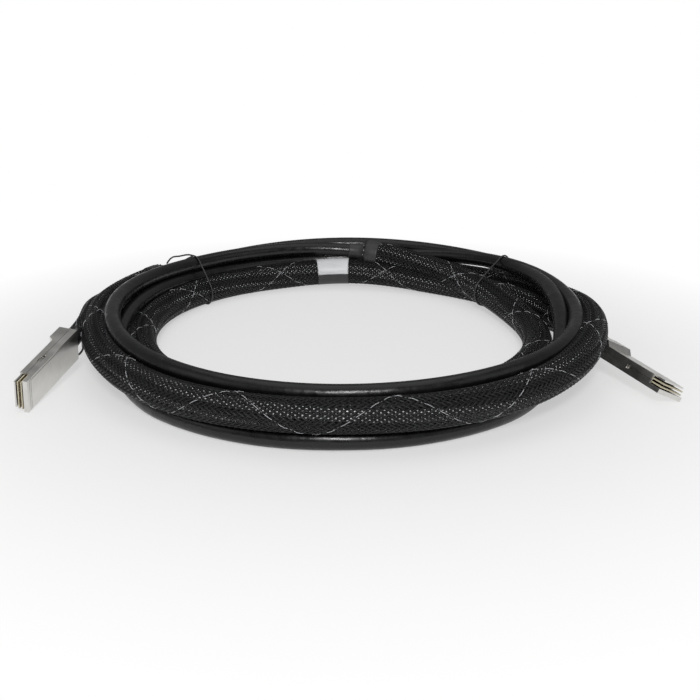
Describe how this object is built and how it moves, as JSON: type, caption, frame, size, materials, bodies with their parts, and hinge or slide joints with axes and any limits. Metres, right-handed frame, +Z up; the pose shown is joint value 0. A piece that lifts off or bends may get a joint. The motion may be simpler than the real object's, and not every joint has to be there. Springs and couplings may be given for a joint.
{
  "type": "direct attach copper cable",
  "caption": "Coiled copper data cable with a flat metal multi-lane plug and a pull loop on each end, part sleeved in black braid and tied for storage.",
  "frame": {"origin": "on the surface that the cable lies on, under the middle of the box round the two plugs", "axes": "+Z up, +X from the left plug to the right plug, +Y from the open noses towards the coil"},
  "size_m": [0.4756, 0.4271, 0.0454],
  "materials": {
    "cable_jacket": "glossy black extruded jacket",
    "braided_sleeve": "black braided monofilament sleeve with white tracer threads",
    "heat_shrink": "satin black heat-shrink tube",
    "label_film": "blank white label film",
    "loop_nylon": "black nylon",
    "plated_shell": "die-cast shell with satin nickel plating",
    "contact_card": "laminate card with gold pads",
    "black_resin": "moulded black resin",
    "crimp_copper": "plain copper alloy",
    "steel": "spring and screw steel"
  },
  "bodies": {
    "cable": {"coil": "cable_jacket", "left_lead": "cable_jacket", "label": "label_film", "left_collar": "heat_shrink", "right_collar": "heat_shrink", "left_tie": "loop_nylon", "right_tie": "loop_nylon", "left_lower_shell": "plated_shell", "left_upper_shell": "plated_shell", "left_lower_card": "contact_card", "left_upper_card": "contact_card", "left_card_saddle": "black_resin", "left_wire_block": "black_resin", "left_ferrule": "crimp_copper", "left_boot": "heat_shrink", "left_screw_1": "steel", "left_screw_2": "steel", "right_lower_shell": "plated_shell", "right_upper_shell": "plated_shell", "right_lower_card": "contact_card", "right_upper_card": "contact_card", "right_card_saddle": "black_resin", "right_wire_block": "black_resin", "right_ferrule": "crimp_copper", "right_boot": "heat_shrink", "right_screw_1": "steel", "right_screw_2": "steel"},
    "left_release": {"left_latch_arm_1": "steel", "left_latch_arm_2": "steel", "left_pull_loop": "loop_nylon"},
    "right_release": {"right_latch_arm_1": "steel", "right_latch_arm_2": "steel", "right_pull_loop": "loop_nylon"}
  },
  "joints": [
    {"name": "left_release_slide", "type": "slide", "parent": "cable", "child": "left_release", "axis": [0.2061, 0.9698, 0.1305], "range_m": [0, 0.003], "stiffness_N_per_m": 400},
    {"name": "right_release_slide", "type": "slide", "parent": "cable", "child": "right_release", "axis": [-0.4213, 0.9034, 0.0802], "range_m": [0, 0.003], "stiffness_N_per_m": 400}
  ]
}
